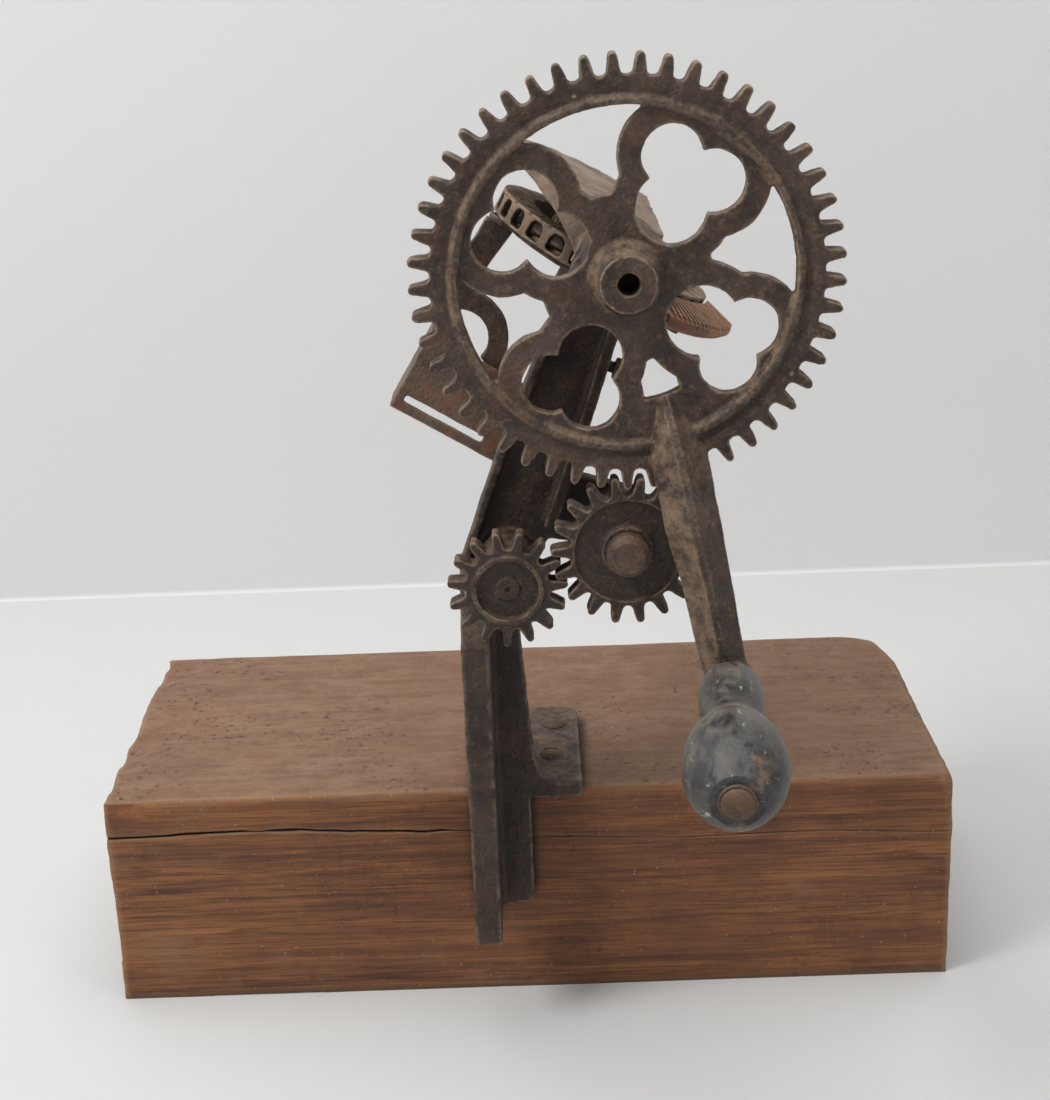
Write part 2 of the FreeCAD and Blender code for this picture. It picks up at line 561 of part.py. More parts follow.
def ring_bed():
    """Fixed spider under the ring; its seat carries the comb and its rim the curved arm."""
    band = disc(BED_R, BED_FLOOR, BED_TOP).cut(disc(BED_R - 9.0, BED_FLOOR - 1, BED_TOP + 1))
    hub = disc(15.0, BED_FLOOR, BED_TOP)
    arm = box(10, BED_R - 5.0, -5, 5, BED_FLOOR, BED_TOP)
    comb_seat = sector(BED_R - 2.0, COMB_SEAT_R, BED_FLOOR, BED_TOP, COMB_START + 4.0, COMB_SWEEP - 8.0)
    arm_seat = disc(6.5, BED_FLOOR, BED_TOP, *ARM_SCREW)
    seat_neck = box(ARM_SCREW[0], -38.0, ARM_SCREW[1] - 6.5, ARM_SCREW[1] + 6.5, BED_FLOOR, BED_TOP)
    bed = fuse([band, hub, comb_seat, arm_seat, seat_neck] + around(arm, 3, 60.0))
    bed = tilted(bed.cut(disc(RING_STUD_R, BED_FLOOR - 1, BED_TOP + 1)))
    return bed.cut(arm_screw()).cut(comb_screws())


def sector(r_in, r_out, z0, z1, start, sweep):
    """Part of a flat ring, from a start angle over a sweep, in degrees."""
    ring = Part.makeCylinder(r_out, z1 - z0, V(0, 0, z0), V(0, 0, 1), sweep)
    ring = ring.cut(Part.makeCylinder(r_in, z1 - z0 + 2, V(0, 0, z0 - 1)))
    ring.rotate(V(0, 0, 0), V(0, 0, 1), start)
    return ring


def comb_rib(height):
    """Radial slice of the comb as (radius, height) points, raised by a rib's height."""
    return [(RING_R + 1.2, 0.6 + height), (COMB_R - 0.4, -3.0 + height * 0.7), (COMB_R - 0.4, -5.0),
            (RING_R + 1.2, -3.0)]


def comb_segment():
    """Ribbed guide comb beside the ring: a fan that falls outward, with a radial rib between threads."""
    section = [(RING_R + 1.0, BED_TOP), (COMB_SEAT_R + 0.3, BED_TOP), (COMB_SEAT_R + 0.3, -10.4),
               (66.0, -8.2), (COMB_R, -5.2), (COMB_R, -3.2), (RING_R + 1.0, 0.6)]
    loop = [V(r, 0, z) for r, z in section]
    blank = Part.Face(Part.makePolygon(loop + loop[:1])).revolve(V(0, 0, 0), V(0, 0, 1), COMB_SWEEP)
    blank.rotate(V(0, 0, 0), V(0, 0, 1), COMB_START)
    side = [V(r, -0.65, z) for r, z in comb_rib(2.1)]
    rib = Part.Face(Part.makePolygon(side + side[:1])).extrude(V(0, 1.3, 0))
    ribs = around(rib, COMB_RIBS, COMB_START + 2.2, (COMB_SWEEP - 4.4) / (COMB_RIBS - 1))
    return tilted(fuse([blank] + ribs)).cut(comb_screws())


def hood():
    """Sheet cover over the left half of the ring, with an oblique mouth and a mounting pad."""
    shell = disc(HOOD_R, -4.0, HOOD_TOP).cut(disc(HOOD_R - 3.2, -5.0, HOOD_TOP - 2.6))
    shell = shell.cut(box(14.0, 70, -70, 70, -5, 40))
    mouth = [V(-70, -70, 26.0), V(-58, -70, 20.5), V(-43, -70, 16.5), V(-30, -70, 10.5), V(-20, -70, 3.5),
             V(-11, -70, -5.0), V(-70, -70, -5.0)]
    cutter = Part.Face(Part.makePolygon(mouth + mouth[:1])).extrude(V(0, 140, 0))
    shell = shell.cut(cutter)
    pad = box(-17, 17, -60.5, -56.6, HEAD_H - 13, HEAD_H + 13)
    shell = fuse([shell, pad])
    shell = shell.cut(Part.makeCylinder(ARBOR_R + 1.2, 20, V(0, -65, HEAD_H), V(0, 1, 0)))
    shell = shell.cut(Part.makeCylinder(9.8, 10, V(0, -56.6, HEAD_H), V(0, 1, 0)))
    for side in (-1, 1):
        for r, y in ((1.7, -65), (3.6, -56.6)):
            shell = shell.cut(Part.makeCylinder(r, 10, V(side * HOOD_SCREW_OFFSET, y, HEAD_H), V(0, 1, 0)))
    return tilted(shell)


def hood_screw_centres():
    return [(BIG_X + s * HOOD_SCREW_OFFSET * math.cos(tilt), BIG_Z - s * HOOD_SCREW_OFFSET * math.sin(tilt))
            for s in (-1, 1)]


def hood_screws():
    screws = []
    for x, z in hood_screw_centres():
        shank = cyl(x, z, 1.5, BEARING_BACK - 8, -76.0)
        head = cyl(x, z, 3.2, -76.6, -74.2)
        slot = box(x - 4, x + 4, -75.2, -74, z - 0.4, z + 0.4)
        screws.append(fuse([shank, head]).cut(slot))
    return Part.makeCompound(screws)


# ---------------------------------------------------------------- bracket behind the column
def ring_bracket():
    """Bracket bolted behind the column; its boss holds the tilted stud."""
    pad = plate([(14, 296), (31, 298), (44, 327), (42, 340), (29, 340), (12, 303)], WEB_BACK, WEB_BACK + 6)
    arm = plate([(18, 303), (30, 302), (38, 322), (32, 330), (24, 324)], WEB_BACK + 5, RING_Y + 6)
    boss = tilted(disc(13.0, -33.0, BED_FLOOR))
    bracket = fuse([pad, arm, boss])
    bracket = bracket.cut(tilted(disc(4.5, -35.0, BED_FLOOR + 1)))
    bracket = bracket.cut(cyl(BIG_X, BIG_Z, BEARING_R + 0.3, WEB_BACK - 1, BEARING_BACK + 1))
    for x, z in BRACKET_BOLTS:
        bracket = bracket.cut(cyl(x, z, 2.6, WEB_BACK - 1, WEB_BACK + 7))
        bracket = bracket.cut(cyl(x, z, 6.0, WEB_BACK + 6, WEB_BACK + 12))
    return bracket


def rear_bolts(centres, seat):
    """Hexagon bolts driven from behind into the column."""
    bolts = []
    for x, z in centres:
        shank = cyl(x, z, 2.5, WEB_FRONT + 1, seat)
        head = hex_prism(V(x, seat, z), V(0, 1, 0), 8.5, 3.6)
        bolts.append(fuse([shank, head]))
    return Part.makeCompound(bolts)


def bracket_bolts():
    return rear_bolts(BRACKET_BOLTS, WEB_BACK + 6)


def side_bolt():
    """Clamp bolt in the column's right edge."""
    head = hex_prism(V(44.5, WEB_FRONT - 2.0, 308.0), V(0.95, 0, -0.32), 8.0, 5.0)
    shank = Part.makeCylinder(2.4, 9, V(44.8, WEB_FRONT - 2.0, 307.9), V(-0.95, 0, 0.32))
    return fuse([head, shank])


# ---------------------------------------------------------------- slotted tray and curved arm
def on_tray(shape):
    """Puts a shape made in the tray's own frame in its place: local X runs along its lower rail."""
    placed = shape.copy()
    placed.Placement = FreeCAD.Placement(V(*TRAY_CORNER), FreeCAD.Rotation(V(0, 1, 0), TRAY_TILT))
    return placed


def tray():
    """Slotted tray: a tilted plate with a side wall, a lower rail and a lug to the column."""
    back = TRAY_THICK
    reach = TRAY_CORNER[1] - WEB_BACK
    face = box(0, TRAY_LUG + 3, 0, back, 0, TRAY_H)
    face = face.cut(box(4.2, 45.0, -1, back + 1, 4.8, 8.3))
    wall = box(0, 2.4, 0, 25, 0, TRAY_H)
    lug = box(TRAY_LUG, TRAY_LUG + 3, -reach, back, 6, 34)
    flange = box(TRAY_LUG, TRAY_LUG + 17, -reach, -reach + 3, 6, 34)
    body = on_tray(fuse([face, wall, lug, flange]))
    for x, z in TRAY_BOLTS:
        body = body.cut(cyl(x, z, 2.6, WEB_BACK - 1, WEB_BACK + 4))
    return body.cut(cyl(ARM_FOOT[0], ARM_FOOT[1], 2.1, TRAY_CORNER[1] - 1, TRAY_CORNER[1] + 4))


def tray_bolts():
    return rear_bolts(TRAY_BOLTS, WEB_BACK + 3)


def curved_arm():
    """Swan-necked bar from the bed of the ring to the tray."""
    y0 = TRAY_CORNER[1] + TRAY_THICK
    y1 = y0 + 6.0
    cx, cz = ARM_BEND
    bend = cyl(cx, cz, 22.0, y0, y1).cut(cyl(cx, cz, 12.8, y0 - 1, y1 + 1))
    keep = plate([(cx, cz), (cx - 4, cz + 30), (cx + 40, cz + 30), (cx + 40, cz - 40), (cx + 26, cz - 30)],
                 y0, y1)
    foot = cyl(ARM_FOOT[0], ARM_FOOT[1], 6.2, y0, y1)
    bar = plate([(cx - 4.5, cz + 12.8), (cx - 4.5, cz + 28), (-13.0, 355.7), (-4.0, 369.8), (11.0, 365.6),
                 (4.6, 357.6), (-7.5, 342.4), (cx + 6.0, cz + 21.0)], y0, y1)
    arm = fuse([bend.common(keep), foot, bar])
    above_bed = tilted(box(-90, 20, -40, 20, BED_FLOOR, 40))
    arm = arm.cut(above_bed).cut(cyl(ARM_FOOT[0], ARM_FOOT[1], 2.1, y0 - 1, y1 + 1))
    return arm.cut(arm_screw())


def arm_bolt():
    """Bolt and nut through the tray and the arm's foot."""
    y0 = TRAY_CORNER[1]
    x, z = ARM_FOOT
    head = hex_prism(V(x, y0 - 2.8, z), V(0, 1, 0), 8.0, 2.8)
    nut = hex_prism(V(x, y0 + TRAY_THICK + 6, z), V(0, 1, 0), 8.0, 3.2)
    return fuse([head, cyl(x, z, 2.1, y0 - 1, y0 + TRAY_THICK + 10.5), nut])


def arm_screw():
    """Countersunk screw from the bed down into the arm."""
    at = V(ARM_SCREW[0], ARM_SCREW[1], BED_FLOOR - 8)
    shank = Part.makeCylinder(1.6, 10.0, at)
    head = Part.makeCone(1.6, 3.0, 1.4, V(at.x, at.y, BED_TOP - 1.5))
    return tilted(fuse([shank, head]))


def comb_screws():
    """Round-head screws up through the bed's seat into the comb."""
    screw = fuse([disc(1.5, BED_FLOOR - 0.2, -2.4, 58.0), disc(2.7, BED_FLOOR - 1.5, BED_FLOOR, 58.0)])
    return tilted(Part.makeCompound(around(screw, 2, COMB_START + 14, COMB_SWEEP - 28)))


PARTS = [
    timber_block, main_frame, foot_screws,
    crank_gear, crank_arbor, crank_bush, arbor_collar, handle_grip, handle_spindle, handle_washer,
    idler_gear, idler_stud, idler_nut,
    pinion_gear, pinion_shaft, pinion_bush, winder_spool, spool_pin,
    needle_ring, needles, crown_gear, drive_pinion, ring_stud, ring_nut, ring_washer,
    ring_bed, comb_segment, comb_screws, hood, hood_screws, ring_bracket, bracket_bolts, side_bolt,
    tray, tray_bolts, curved_arm, arm_bolt, arm_screw,
]


def main():
    os.makedirs("parts", exist_ok=True)
    for make in PARTS:
        shape = make()
        export(shape, make.__name__)
        print(make.__name__, len(shape.Solids), shape.isValid(), round(shape.Volume))


main()
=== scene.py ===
"""Looks of the hand-cranked bench knitting machine: rusty castings on an old timber block."""
import json
import math

import bpy
from mathutils import Matrix, Vector, noise


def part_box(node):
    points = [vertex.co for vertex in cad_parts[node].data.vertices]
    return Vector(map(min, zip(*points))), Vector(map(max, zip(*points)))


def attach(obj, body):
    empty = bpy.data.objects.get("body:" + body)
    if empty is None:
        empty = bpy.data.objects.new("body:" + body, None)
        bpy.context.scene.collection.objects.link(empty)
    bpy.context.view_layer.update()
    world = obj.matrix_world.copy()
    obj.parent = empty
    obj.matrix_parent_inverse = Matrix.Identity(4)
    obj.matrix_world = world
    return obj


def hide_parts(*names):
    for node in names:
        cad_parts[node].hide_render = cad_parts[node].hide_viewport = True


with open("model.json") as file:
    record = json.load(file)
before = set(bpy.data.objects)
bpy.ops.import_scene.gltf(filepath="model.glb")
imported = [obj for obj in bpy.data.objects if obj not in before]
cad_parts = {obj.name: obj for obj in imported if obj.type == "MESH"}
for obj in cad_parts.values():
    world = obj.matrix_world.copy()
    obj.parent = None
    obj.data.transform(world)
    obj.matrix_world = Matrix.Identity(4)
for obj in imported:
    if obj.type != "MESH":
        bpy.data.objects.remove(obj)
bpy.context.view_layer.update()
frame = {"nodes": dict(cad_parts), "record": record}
nodes = frame["nodes"]
scene = bpy.context.scene
MM = 0.001
EDGE_RADIUS = 0.7 * MM      # reach of the wear on a plain mesh's edges
BEVEL_RADIUS = 0.5 * MM     # rounding that a plain mesh's edges are shaded with


# ---------------------------------------------------------------- node helpers
def srgb(r, g, b):
    """Linear RGBA from 0-255 sRGB numbers."""
    def linear(c):
        c = c / 255
        return c / 12.92 if c <= 0.04045 else ((c + 0.055) / 1.055) ** 2.4
    return (linear(r), linear(g), linear(b), 1.0)


class Graph:
    """One material and its node tree."""

    def __init__(self, name):
        self.material = bpy.data.materials.new(name)
        self.material.use_nodes = True
        self.tree = self.material.node_tree
        self.tree.nodes.clear()
        self.shader = self.add("ShaderNodeBsdfPrincipled")
        out = self.add("ShaderNodeOutputMaterial")
        self.tree.links.new(self.shader.outputs[0], out.inputs[0])
        self.place = self.add("ShaderNodeTexCoord")

    def add(self, kind, **values):
        n = self.tree.nodes.new(kind)
        for key, value in values.items():
            setattr(n, key, value)
        return n

    def feed(self, socket, value):
        if isinstance(value, bpy.types.NodeSocket):
            self.tree.links.new(value, socket)
        else:
            socket.default_value = value

    def stretched(self, x, y, z, shift=0.0):
        """Object coordinates scaled per axis."""
        n = self.add("ShaderNodeMapping")
        n.inputs["Scale"].default_value = (x, y, z)
        n.inputs["Location"].default_value = (shift, shift * 0.7, -shift)
        self.feed(n.inputs["Vector"], self.place.outputs["Object"])
        return n.outputs[0]

    def noise(self, scale, detail, rough, vector=None, warp=0.0):
        n = self.add("ShaderNodeTexNoise")
        self.feed(n.inputs["Vector"], vector or self.place.outputs["Object"])
        n.inputs["Scale"].default_value = scale
        n.inputs["Detail"].default_value = detail
        n.inputs["Roughness"].default_value = rough
        n.inputs["Distortion"].default_value = warp
        return n.outputs["Fac"]

    def cells(self, scale):
        n = self.add("ShaderNodeTexVoronoi")
        self.feed(n.inputs["Vector"], self.place.outputs["Object"])
        n.inputs["Scale"].default_value = scale
        return n.outputs["Distance"]

    def math(self, op, a, b=0.0):
        n = self.add("ShaderNodeMath", operation=op)
        self.feed(n.inputs[0], a)
        self.feed(n.inputs[1], b)
        return n.outputs[0]

    def span(self, value, low, high, to_low=0.0, to_high=1.0):
        """Value remapped from one span to another, clamped."""
        n = self.add("ShaderNodeMapRange")
        n.clamp = True
        self.feed(n.inputs["Value"], value)
        n.inputs["From Min"].default_value = low
        n.inputs["From Max"].default_value = high
        n.inputs["To Min"].default_value = to_low
        n.inputs["To Max"].default_value = to_high
        return n.outputs[0]

    def mix(self, share, a, b):
        """Colour a going over to b; sockets 6, 7 and output 2 are the node's RGBA ones."""
        n = self.add("ShaderNodeMix", data_type="RGBA")
        self.feed(n.inputs[0], share)
        self.feed(n.inputs[6], a)
        self.feed(n.inputs[7], b)
        return n.outputs[2]

    def facing(self, axis):
        """One component of the normal in object space, so dust stays with the piece as it turns."""
        n = self.add("ShaderNodeSeparateXYZ")
        self.feed(n.inputs[0], self.place.outputs["Normal"])
        return n.outputs[axis]

    def crevice(self, reach):
        """1 in the open, towards 0 in corners."""
        n = self.add("ShaderNodeAmbientOcclusion", samples=6)
        n.inputs["Distance"].default_value = reach
        return n.outputs["AO"]

    def rounded_normal(self, radius):
        n = self.add("ShaderNodeBevel", samples=4)
        n.inputs["Radius"].default_value = radius
        return n.outputs[0]

    def edges(self, soft):
        """1 on worn edges: by pointiness on a dense mesh, by a rounded normal on a plain one."""
        if soft:
            n = self.add("ShaderNodeNewGeometry")
            return self.span(n.outputs["Pointiness"], 0.505, 0.56)
        rounded = self.rounded_normal(EDGE_RADIUS)
        flat = self.add("ShaderNodeNewGeometry")
        dot = self.add("ShaderNodeVectorMath", operation="DOT_PRODUCT")
        self.feed(dot.inputs[0], rounded)
        self.feed(dot.inputs[1], flat.outputs["Normal"])
        return self.span(dot.outputs["Value"], 0.995, 0.9)

    def bump(self, height, strength, distance, base=None):
        n = self.add("ShaderNodeBump")
        n.inputs["Strength"].default_value = strength
        n.inputs["Distance"].default_value = distance
        self.feed(n.inputs["Height"], height)
        if base is not None:
            self.feed(n.inputs["Normal"], base)
        return n.outputs[0]

    def finish(self, colour, rough, normal, metal=None):
        self.feed(self.shader.inputs["Base Color"], colour)
        self.feed(self.shader.inputs["Roughness"], rough)
        self.feed(self.shader.inputs["Normal"], normal)
        if metal is not None:
            self.feed(self.shader.inputs["Metallic"], metal)
        return self.material


# ---------------------------------------------------------------- materials
# Near-black brown of the painted shade laid into the iron's recesses.
PAINTED_SHADE = srgb(20, 15, 12)
BARE_IRON = srgb(186, 168, 148)
PALE_GRIT = srgb(196, 180, 160)


def rusty_iron(name, deep, body, warm, dust, *, dust_amount, rust_amount, wear,
               soft=True, shade=0.42, left_dust_and_highlight=0.0):
    """Old iron: dark body, warm rust, painted shade in deep recesses, tan dust in corners and on
    top, pale worn edges.
    """
    g = Graph(name)
    broad = g.noise(34.0, 6.0, 0.68, warp=0.5)
    mottled = g.noise(190.0, 7.0, 0.7)
    fine = g.noise(780.0, 5.0, 0.65)
    pits = g.cells(520.0)
    colour = g.mix(g.span(broad, 0.38, 0.62), deep, body)
    grime = g.mix(g.span(fine, 0.4, 0.6), body, dust)
    colour = g.mix(g.span(mottled, 0.48, 0.68, 0.0, 0.42), colour, grime)
    colour = g.mix(g.span(mottled, 0.44, 0.34, 0.0, 0.7), colour, deep)
    rust = g.noise(62.0, 7.0, 0.74, g.stretched(1, 1, 1, 0.37))
    rust = g.math("MULTIPLY", g.span(rust, 0.5, 0.62), rust_amount)
    colour = g.mix(rust, colour, warm)
    # Painted shade: recesses found by ambient occlusion up to 42 mm go towards near-black brown, by
    # up to the share given as shade.
    colour = g.mix(g.span(g.crevice(42 * MM), 0.35, 0.85, shade, 0.0), colour, PAINTED_SHADE)
    upward = g.span(g.facing(2), 0.1, 0.9)
    corner = g.span(g.crevice(6 * MM), 0.75, 0.3)
    settled = g.math("MAXIMUM", g.math("MULTIPLY", upward, 0.9), g.math("MULTIPLY", corner, 0.55))
    # Faces turned to the left, where the key light comes from, take the tan dust colour: partly
    # dust, partly a painted highlight.
    settled = g.math("MAXIMUM", settled, g.span(g.facing(0), -0.15, -0.6, 0.0, left_dust_and_highlight))
    settled = g.math("MULTIPLY", settled, g.span(g.noise(110.0, 7.0, 0.75), 0.42, 0.6))
    colour = g.mix(g.math("MULTIPLY", settled, dust_amount), colour, dust)
    worn = g.math("MULTIPLY", g.edges(soft), g.span(g.noise(140.0, 6.0, 0.7), 0.4, 0.58))
    worn = g.math("MULTIPLY", worn, wear)
    colour = g.mix(worn, colour, g.mix(0.4, dust, BARE_IRON))
    specks = g.span(g.noise(950.0, 4.0, 0.7), 0.7, 0.75)
    specks = g.math("MULTIPLY", specks, g.span(g.noise(45.0, 4.0, 0.6), 0.4, 0.6, 0.15, 0.6))
    colour = g.mix(specks, colour, PALE_GRIT)
    rough = g.span(mottled, 0.35, 0.65, 0.46, 0.84)
    rough = g.math("SUBTRACT", rough, g.math("MULTIPLY", worn, 0.16))
    height = g.math("ADD", g.math("MULTIPLY", mottled, 0.9), g.math("MULTIPLY", fine, 0.4))
    height = g.math("ADD", height, g.math("MULTIPLY", g.span(pits, 0.0, 0.45), 0.4))
    base = None if soft else g.rounded_normal(BEVEL_RADIUS)
    normal = g.bump(height, 0.7, 1.0 * MM, base)
    return g.finish(colour, rough, normal, g.math("MULTIPLY", worn, 0.45))


def painted_wood():
    """Turned grip: dark paint rubbed grey, a tan painted sheen round its rims, and nicked."""
    black, rubbed, greyed = srgb(27, 26, 27), srgb(66, 66, 68), srgb(98, 95, 91)
    pitch, rim_sheen_tan, bare_wood = srgb(20, 19, 20), srgb(126, 116, 100), srgb(124, 98, 76)
    chipped, gouged, dust = srgb(172, 164, 150), srgb(14, 12, 12), srgb(122, 113, 100)
    g = Graph("worn_black_paint")
    broad = g.noise(48.0, 6.0, 0.7, warp=0.6)
    patch = g.noise(120.0, 8.0, 0.74, g.stretched(1.0, 0.6, 1.0, 0.2), warp=0.5)
    fine = g.noise(900.0, 4.0, 0.65)
    nicks = g.noise(210.0, 4.0, 0.6, g.stretched(1.0, 0.25, 1.6, 0.6), warp=1.2)
    colour = g.mix(g.span(broad, 0.36, 0.62), black, rubbed)
    colour = g.mix(g.span(patch, 0.52, 0.64, 0.0, 0.6), colour, greyed)
    colour = g.mix(g.span(patch, 0.45, 0.36, 0.0, 0.9), colour, pitch)
    # Known fault: this tan follows the view, where it should stay on the wood.
    # Painted sheen: a tan laid where the surface turns away from the view, at the rims.
    rim = g.add("ShaderNodeLayerWeight")
    rim.inputs["Blend"].default_value = 0.35
    painted_rim_sheen = g.span(rim.outputs["Facing"], 0.35, 0.95)
    painted_rim_sheen = g.math("MULTIPLY", painted_rim_sheen, g.span(patch, 0.4, 0.58, 0.05, 0.7))
    colour = g.mix(painted_rim_sheen, colour, rim_sheen_tan)
    bare = g.span(g.noise(85.0, 7.0, 0.74, g.stretched(1.0, 1.0, 1.0, 0.9)), 0.57, 0.64)
    colour = g.mix(g.math("MULTIPLY", bare, 0.75), colour, bare_wood)
    chips = g.span(nicks, 0.66, 0.7)
    colour = g.mix(chips, colour, chipped)
    gouge = g.span(nicks, 0.33, 0.29)
    colour = g.mix(gouge, colour, gouged)
    upward = g.span(g.facing(2), 0.3, 1.0)
    settled = g.math("MULTIPLY", upward, g.span(patch, 0.45, 0.6, 0.05, 0.5))
    colour = g.mix(settled, colour, dust)
    rough = g.span(patch, 0.4, 0.6, 0.34, 0.66)
    height = g.math("ADD", g.math("MULTIPLY", patch, 0.8), g.math("MULTIPLY", fine, 0.2))
    height = g.math("SUBTRACT", height, gouge)
    return g.finish(colour, rough, g.bump(height, 0.55, 0.7 * MM))


def old_timber():
    """Sawn softwood: fine long grain, dust and crumbs on top, grey end grain, and painted shade in
    its cracks and corners.
    """
    g = Graph("old_timber")
    strand = g.noise(1.0, 7.0, 0.72, g.stretched(9.0, 230.0, 230.0), warp=0.2)
    fibre = g.noise(1.0, 5.0, 0.7, g.stretched(26.0, 900.0, 900.0))
    band = g.noise(1.0, 4.0, 0.55, g.stretched(3.0, 34.0, 44.0, 0.4), warp=0.4)
    blotch = g.noise(16.0, 7.0, 0.68)
    colour = g.mix(g.span(strand, 0.36, 0.64), srgb(80, 46, 27), srgb(160, 106, 66))
    colour = g.mix(g.span(fibre, 0.49, 0.6, 0.0, 0.65), colour, srgb(56, 32, 20))
    colour = g.mix(g.span(band, 0.42, 0.64, 0.0, 0.45), colour, srgb(124, 76, 47))
    colour = g.mix(g.span(blotch, 0.5, 0.68, 0.0, 0.45), colour, srgb(64, 41, 30))
    colour = g.mix(g.span(blotch, 0.46, 0.36, 0.0, 0.45), colour, srgb(138, 104, 76))
    up = g.span(g.facing(2), 0.5, 0.95)
    haze = g.noise(70.0, 9.0, 0.78, g.stretched(0.7, 1.1, 1.0, 0.15))
    wide = g.noise(15.0, 5.0, 0.6, g.stretched(0.7, 1.2, 1.0, 0.5))
    top = g.mix(g.span(strand, 0.36, 0.64), srgb(112, 79, 57), srgb(140, 106, 80))
    top = g.mix(g.span(fibre, 0.5, 0.62, 0.0, 0.35), top, srgb(88, 61, 44))
    top = g.mix(g.span(haze, 0.44, 0.6, 0.0, 0.5), top, srgb(152, 124, 100))
    top = g.mix(g.span(wide, 0.42, 0.62, 0.0, 0.4), top, srgb(118, 82, 58))
    crumbs = g.span(g.noise(300.0, 4.0, 0.7, g.stretched(0.8, 1.0, 1.0, 0.7)), 0.59, 0.63)
    crumbs = g.math("MULTIPLY", crumbs, g.span(g.noise(22.0, 4.0, 0.6), 0.46, 0.6))
    top = g.mix(g.math("MULTIPLY", crumbs, 0.85), top, srgb(58, 38, 27))
    colour = g.mix(up, colour, top)
    end = g.span(g.math("ABSOLUTE", g.facing(0)), 0.6, 0.95)
    growth = g.add("ShaderNodeTexWave", wave_type="RINGS", rings_direction="X")
    g.feed(growth.inputs["Vector"], g.stretched(1.0, 1.0, 1.0, 0.03))
    growth.inputs["Scale"].default_value = 62.0
    growth.inputs["Distortion"].default_value = 3.0
    growth.inputs["Detail"].default_value = 4.0
    growth.inputs["Detail Scale"].default_value = 1.5
    pores = g.noise(420.0, 6.0, 0.7)
    rings = g.span(growth.outputs["Fac"], 0.2, 0.9, 0.0, 0.6)
    grey = g.mix(rings, srgb(128, 106, 90), srgb(88, 66, 52))
    grey = g.mix(g.span(pores, 0.45, 0.62, 0.0, 0.55), grey, srgb(158, 138, 120))
    grey = g.mix(g.span(g.noise(30.0, 6.0, 0.7), 0.45, 0.65, 0.0, 0.6), grey, srgb(96, 68, 50))
    colour = g.mix(end, colour, grey)
    # Painted shade: recesses found by ambient occlusion up to 6 mm go towards near-black brown.
    deep = g.span(g.crevice(6 * MM), 0.5, 0.92)
    colour = g.mix(deep, srgb(30, 20, 15), colour)
    colour = g.mix(g.math("MULTIPLY", g.edges(soft=True), 0.4), colour, srgb(184, 142, 106))
    specks = g.span(g.noise(640.0, 3.0, 0.6), 0.68, 0.74)
    colour = g.mix(g.math("MULTIPLY", specks, 0.65), colour, srgb(208, 180, 150))
    height = g.math("ADD", g.math("MULTIPLY", strand, 0.7), g.math("MULTIPLY", fibre, 0.6))
    height = g.math("ADD", height, g.math("MULTIPLY", crumbs, 0.7))
    rough = g.span(strand, 0.35, 0.65, 0.6, 0.86)
    return g.finish(colour, rough, g.bump(height, 0.8, 0.8 * MM))


